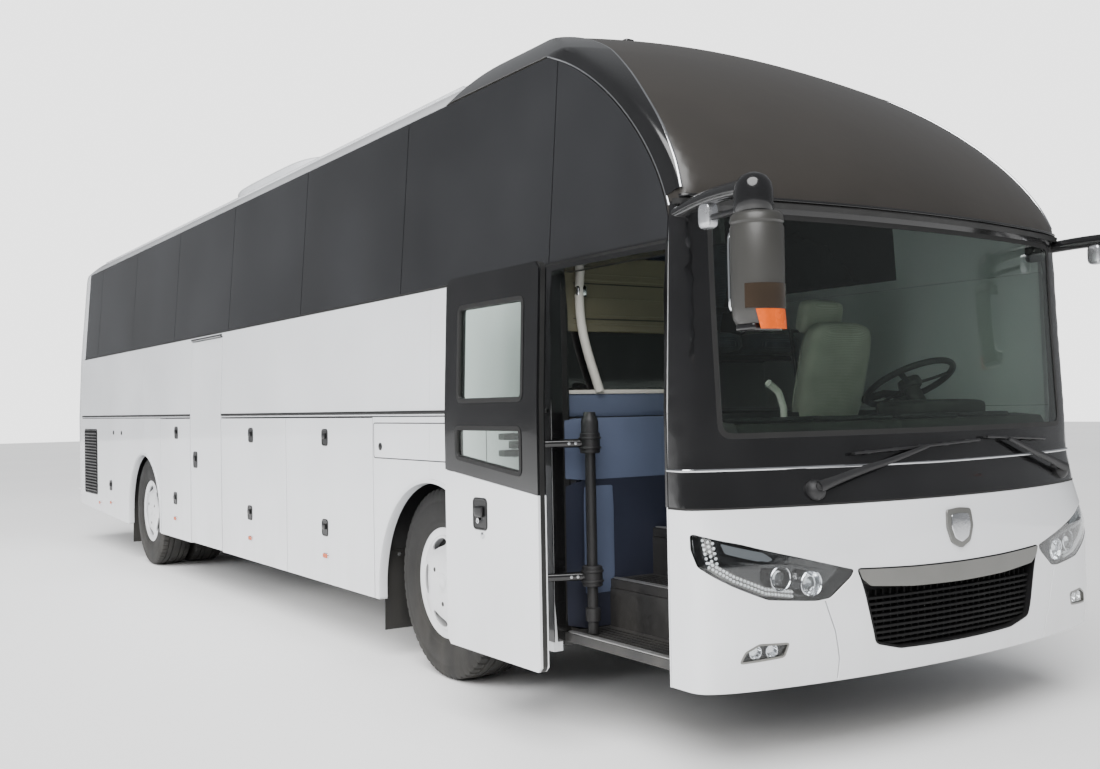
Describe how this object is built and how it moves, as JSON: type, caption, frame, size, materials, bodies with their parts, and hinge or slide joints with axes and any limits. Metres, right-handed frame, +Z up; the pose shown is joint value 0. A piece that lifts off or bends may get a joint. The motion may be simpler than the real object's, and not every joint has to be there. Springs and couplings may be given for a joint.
{
  "type": "coach bus",
  "caption": "High-floor touring coach with a dark front dome, open swinging passenger door, middle door, side luggage doors and rear engine lid.",
  "frame": {"origin": "on the ground below the middle of the whole coach", "axes": "+X forward, +Y to the left side, +Z up"},
  "size_m": [12.16, 3.0193, 3.65],
  "materials": {
    "white_paint": "pearl white coach paint with a clear coat",
    "black_gloss": "gloss black moulding",
    "dome_black": "dark bronze-black gloss cap",
    "clear_glass": "laminated windshield glass",
    "tinted_glass": "deep tinted bonded glass",
    "lamp": "clear lamp lens over chrome",
    "tail_lamp": "red lamp lens",
    "grille_black": "matte black grille",
    "chassis_black": "satin black chassis paint",
    "floor_grey": "ribbed floor covering",
    "hold_grey": "aluminium sheet",
    "dash_grey": "grained dashboard plastic",
    "seat_cloth": "woven seat cloth",
    "pale_cloth": "pale cotton seat cover",
    "interior_olive": "olive grey interior trim",
    "partition_blue": "blue violet panel",
    "rubber": "black rubber",
    "tyre": "tyre rubber",
    "rim_silver": "silver painted steel wheel",
    "engine_iron": "painted cast iron",
    "mirror_grey": "dark grey moulded housing"
  },
  "bodies": {
    "coach_body": {"chassis_frame": "chassis_black", "cabin_floor": "floor_grey", "luggage_hold": "hold_grey", "left_side_panel": "white_paint", "right_side_panel": "white_paint", "roof_panel": "white_paint", "front_dome": "dome_black", "windshield": "clear_glass", "front_cowl": "black_gloss", "front_panel": "white_paint", "grille": "grille_black", "front_lamps": "lamp", "rear_panel": "white_paint", "rear_window": "tinted_glass", "tail_lamps": "tail_lamp", "side_windows": "tinted_glass", "air_conditioner": "white_paint", "dashboard": "dash_grey", "driver_seat": "pale_cloth", "passenger_seats": "seat_cloth", "luggage_racks": "interior_olive", "driver_partition": "partition_blue", "wipers": "rubber", "mirrors": "mirror_grey", "front_axle": "chassis_black", "rear_axle": "chassis_black", "engine_block": "engine_iron", "mudflaps": "rubber"},
    "door_arms": {"door_post": "chassis_black"},
    "passenger_door": {"passenger_door": "white_paint", "passenger_door_glass": "tinted_glass"},
    "middle_door": {"middle_door": "white_paint"},
    "luggage_door_right_front": {"luggage_door_right_front": "white_paint"},
    "luggage_door_right_rear": {"luggage_door_right_rear": "white_paint"},
    "luggage_door_left_front": {"luggage_door_left_front": "white_paint"},
    "luggage_door_left_rear": {"luggage_door_left_rear": "white_paint"},
    "service_door": {"service_door": "white_paint"},
    "engine_lid": {"engine_lid": "white_paint"},
    "steering_left": {"steering_knuckle_left": "chassis_black"},
    "steering_right": {"steering_knuckle_right": "chassis_black"},
    "front_wheel_left": {"front_tyre_left": "tyre", "front_rim_left": "rim_silver"},
    "front_wheel_right": {"front_tyre_right": "tyre", "front_rim_right": "rim_silver"},
    "rear_wheels_left": {"rear_tyres_left": "tyre", "rear_rims_left": "rim_silver"},
    "rear_wheels_right": {"rear_tyres_right": "tyre", "rear_rims_right": "rim_silver"}
  },
  "joints": [
    {"name": "door_arm_swing", "type": "hinge", "parent": "coach_body", "child": "door_arms", "pos_m": [4.6701, -1.15, 0.9], "axis": [0, 0, 1], "range_deg": [0, 113]},
    {"name": "door_leaf_turn", "type": "hinge", "parent": "door_arms", "child": "passenger_door", "pos_m": [4.5342, -1.4551, 0.9], "axis": [0, 0, 1], "range_deg": [-113, 0]},
    {"name": "middle_door_hinge", "type": "hinge", "parent": "coach_body", "child": "middle_door", "pos_m": [-0.29, -1.275, 1.2], "axis": [0, 0, 1], "range_deg": [0, 85]},
    {"name": "luggage_right_front_hinge", "type": "hinge", "parent": "coach_body", "child": "luggage_door_right_front", "pos_m": [1.8925, -1.275, 1.425], "axis": [-1, 0, 0], "range_deg": [0, 90]},
    {"name": "luggage_right_rear_hinge", "type": "hinge", "parent": "coach_body", "child": "luggage_door_right_rear", "pos_m": [0.44, -1.275, 1.425], "axis": [-1, 0, 0], "range_deg": [0, 90]},
    {"name": "luggage_left_front_hinge", "type": "hinge", "parent": "coach_body", "child": "luggage_door_left_front", "pos_m": [1.8925, 1.275, 1.425], "axis": [1, 0, 0], "range_deg": [0, 90]},
    {"name": "luggage_left_rear_hinge", "type": "hinge", "parent": "coach_body", "child": "luggage_door_left_rear", "pos_m": [0.44, 1.275, 1.425], "axis": [1, 0, 0], "range_deg": [0, 90]},
    {"name": "service_door_hinge", "type": "hinge", "parent": "coach_body", "child": "service_door", "pos_m": [-1.614, -1.275, 1.425], "axis": [-1, 0, 0], "range_deg": [0, 90]},
    {"name": "engine_lid_hinge", "type": "hinge", "parent": "coach_body", "child": "engine_lid", "pos_m": [-6.08, 0, 1.55], "axis": [0, 1, 0], "range_deg": [0, 75]},
    {"name": "steer_left", "type": "hinge", "parent": "coach_body", "child": "steering_left", "pos_m": [3.34, 0.9, 0.522], "axis": [0, 0, 1], "range_deg": [-38, 38]},
    {"name": "steer_right", "type": "hinge", "parent": "coach_body", "child": "steering_right", "pos_m": [3.34, -0.9, 0.522], "axis": [0, 0, 1], "range_deg": [-38, 38]},
    {"name": "front_wheel_left_spin", "type": "hinge", "parent": "steering_left", "child": "front_wheel_left", "pos_m": [3.34, 1.06, 0.522], "axis": [0, 1, 0], "continuous": true},
    {"name": "front_wheel_right_spin", "type": "hinge", "parent": "steering_right", "child": "front_wheel_right", "pos_m": [3.34, -1.06, 0.522], "axis": [0, 1, 0], "continuous": true},
    {"name": "rear_wheels_left_spin", "type": "hinge", "parent": "coach_body", "child": "rear_wheels_left", "pos_m": [-2.71, 1.078, 0.522], "axis": [0, 1, 0], "continuous": true},
    {"name": "rear_wheels_right_spin", "type": "hinge", "parent": "coach_body", "child": "rear_wheels_right", "pos_m": [-2.71, -1.078, 0.522], "axis": [0, 1, 0], "continuous": true}
  ],
  "couplings": [
    {"joint": "door_leaf_turn", "follows": "door_arm_swing", "ratio": -1},
    {"joint": "steer_right", "follows": "steer_left", "ratio": 1}
  ]
}
